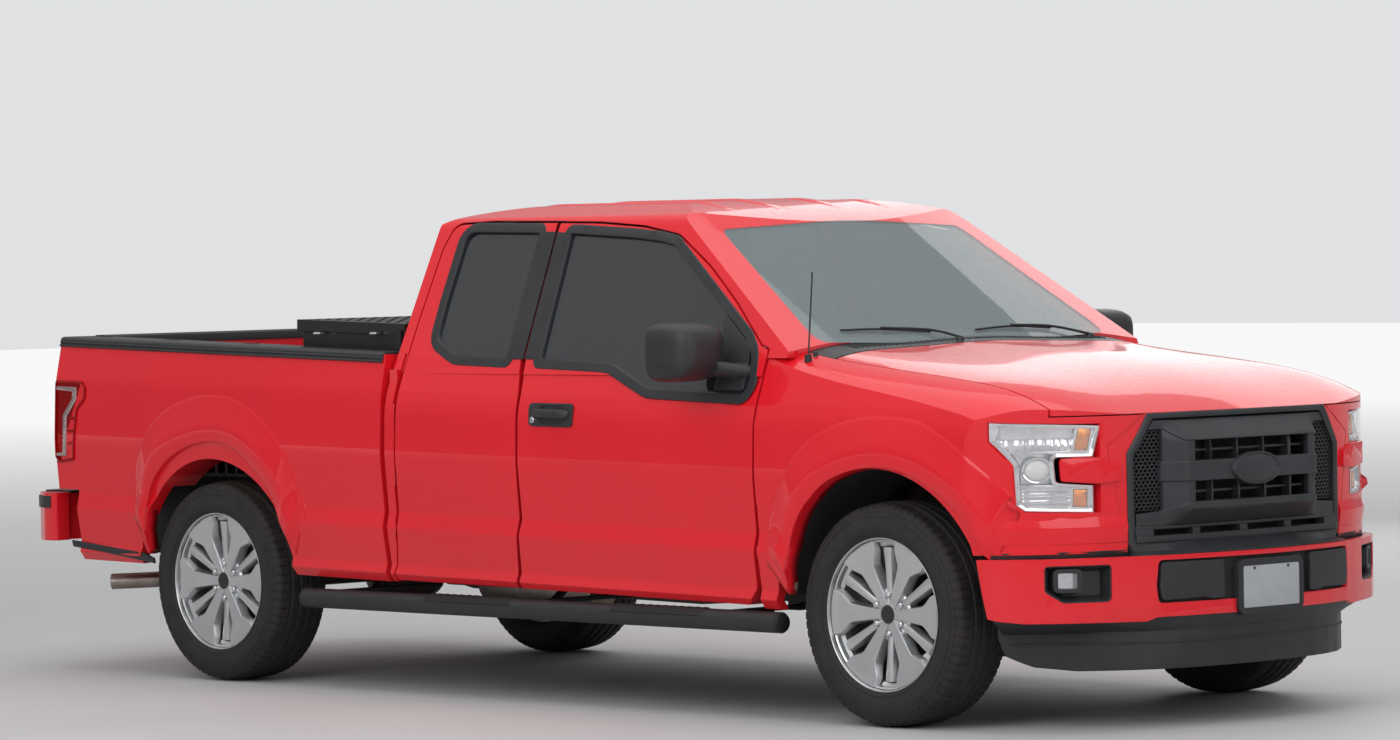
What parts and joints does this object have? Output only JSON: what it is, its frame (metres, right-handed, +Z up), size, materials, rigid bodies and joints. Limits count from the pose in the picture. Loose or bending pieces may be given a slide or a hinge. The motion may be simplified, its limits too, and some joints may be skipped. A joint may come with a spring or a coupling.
{
  "type": "pickup truck",
  "caption": "Extended-cab pickup truck with rear-hinged back doors, open load bed, tailgate, cross-bed toolbox, hood and steered front wheels.",
  "frame": {"origin": "on the ground under the middle of the truck's overall length and width", "axes": "+X forward along the truck, +Y to its left, +Z up"},
  "size_m": [5.888, 2.4558, 1.8661],
  "materials": {
    "paint": "solid red paint with a clear coat",
    "glass": "tinted glass",
    "tyre": "black rubber",
    "wheel": "machined and lacquered",
    "chassis": "black chassis paint",
    "steel": "bare cast and forged metal",
    "pipe": "heat stained steel",
    "trim": "grained dark plastic",
    "lamp": "clear lamp cover",
    "red_lamp": "red lamp cover",
    "checker": "black tread plate",
    "seat": "grey woven cloth",
    "cabin": "grained grey plastic",
    "liner": "painted load floor"
  },
  "bodies": {
    "truck": {"air_dam": "trim", "antenna": "trim", "backlight": "glass", "bed_floor": "liner", "bed_side_left": "paint", "bed_side_right": "paint", "cab_back": "paint", "cab_floor": "paint", "cab_side_left": "paint", "cab_side_right": "paint", "cowl": "paint", "dashboard": "cabin", "engine": "steel", "exhaust": "pipe", "fender_left": "paint", "fender_right": "paint", "frame": "chassis", "front_bumper": "paint", "front_seats": "seat", "front_structure": "chassis", "front_suspension": "steel", "fuel_tank": "chassis", "grille": "trim", "headlights": "lamp", "radiator": "chassis", "rear_axle_assembly": "steel", "rear_bumper": "paint", "rear_seat": "seat", "roof": "paint", "spare_wheel": "tyre", "steering_column": "cabin", "step_bars": "chassis", "tail_lights": "red_lamp", "toolbox": "checker", "windscreen": "glass"},
    "front_door_right": {"door_front_right": "paint", "door_glass_front_right": "glass", "mirror_right": "trim"},
    "rear_door_right": {"door_rear_right": "paint", "door_glass_rear_right": "glass"},
    "steered_right": {"knuckle_right": "steel"},
    "front_wheel_right": {"wheel_front_right": "wheel", "tyre_front_right": "tyre"},
    "rear_wheel_right": {"wheel_rear_right": "wheel", "tyre_rear_right": "tyre"},
    "front_door_left": {"door_front_left": "paint", "door_glass_front_left": "glass", "mirror_left": "trim"},
    "rear_door_left": {"door_rear_left": "paint", "door_glass_rear_left": "glass"},
    "steered_left": {"knuckle_left": "steel"},
    "front_wheel_left": {"wheel_front_left": "wheel", "tyre_front_left": "tyre"},
    "rear_wheel_left": {"wheel_rear_left": "wheel", "tyre_rear_left": "tyre"},
    "hood": {"hood": "paint"},
    "tailgate": {"tailgate": "paint"},
    "toolbox_lid": {"toolbox_lid": "checker"},
    "steering_wheel": {"steering_wheel": "cabin"}
  },
  "joints": [
    {"name": "front_door_right_hinge", "type": "hinge", "parent": "truck", "child": "front_door_right", "pos_m": [1.328, -0.984, 0.95], "axis": [0, 0, 1], "range_deg": [0, 65]},
    {"name": "rear_door_right_hinge", "type": "hinge", "parent": "truck", "child": "rear_door_right", "pos_m": [-0.51, -0.984, 0.95], "axis": [0, 0, -1], "range_deg": [0, 85]},
    {"name": "steer_right", "type": "hinge", "parent": "truck", "child": "steered_right", "pos_m": [1.992, -0.69, 0.396], "axis": [0, 0, 1], "range_deg": [-30, 30]},
    {"name": "front_wheel_right_spin", "type": "hinge", "parent": "steered_right", "child": "front_wheel_right", "pos_m": [1.992, -0.8585, 0.396], "axis": [0, 1, 0], "continuous": true},
    {"name": "rear_wheel_right_spin", "type": "hinge", "parent": "truck", "child": "rear_wheel_right", "pos_m": [-1.691, -0.8585, 0.396], "axis": [0, 1, 0], "continuous": true},
    {"name": "front_door_left_hinge", "type": "hinge", "parent": "truck", "child": "front_door_left", "pos_m": [1.328, 0.984, 0.95], "axis": [0, 0, -1], "range_deg": [0, 65]},
    {"name": "rear_door_left_hinge", "type": "hinge", "parent": "truck", "child": "rear_door_left", "pos_m": [-0.51, 0.984, 0.95], "axis": [0, 0, 1], "range_deg": [0, 85]},
    {"name": "steer_left", "type": "hinge", "parent": "truck", "child": "steered_left", "pos_m": [1.992, 0.69, 0.396], "axis": [0, 0, 1], "range_deg": [-30, 30]},
    {"name": "front_wheel_left_spin", "type": "hinge", "parent": "steered_left", "child": "front_wheel_left", "pos_m": [1.992, 0.8585, 0.396], "axis": [0, 1, 0], "continuous": true},
    {"name": "rear_wheel_left_spin", "type": "hinge", "parent": "truck", "child": "rear_wheel_left", "pos_m": [-1.691, 0.8585, 0.396], "axis": [0, 1, 0], "continuous": true},
    {"name": "hood_hinge", "type": "hinge", "parent": "truck", "child": "hood", "pos_m": [1.752, 0, 1.295], "axis": [0, -1, 0], "range_deg": [0, 50]},
    {"name": "tailgate_hinge", "type": "hinge", "parent": "truck", "child": "tailgate", "pos_m": [-2.66, 0, 0.812], "axis": [0, -1, 0], "range_deg": [0, 90]},
    {"name": "toolbox_lid_hinge", "type": "hinge", "parent": "truck", "child": "toolbox_lid", "pos_m": [-0.71885, 0, 1.37717], "axis": [0, 1, 0], "range_deg": [0, 75]},
    {"name": "steering_wheel_spin", "type": "hinge", "parent": "truck", "child": "steering_wheel", "pos_m": [0.985, 0.38, 1.115], "axis": [-0.9136, 0, 0.4067], "range_deg": [-450, 450]}
  ],
  "couplings": [
    {"joint": "steer_right", "follows": "steering_wheel_spin", "ratio": 0.0666},
    {"joint": "steer_left", "follows": "steering_wheel_spin", "ratio": 0.0666}
  ]
}
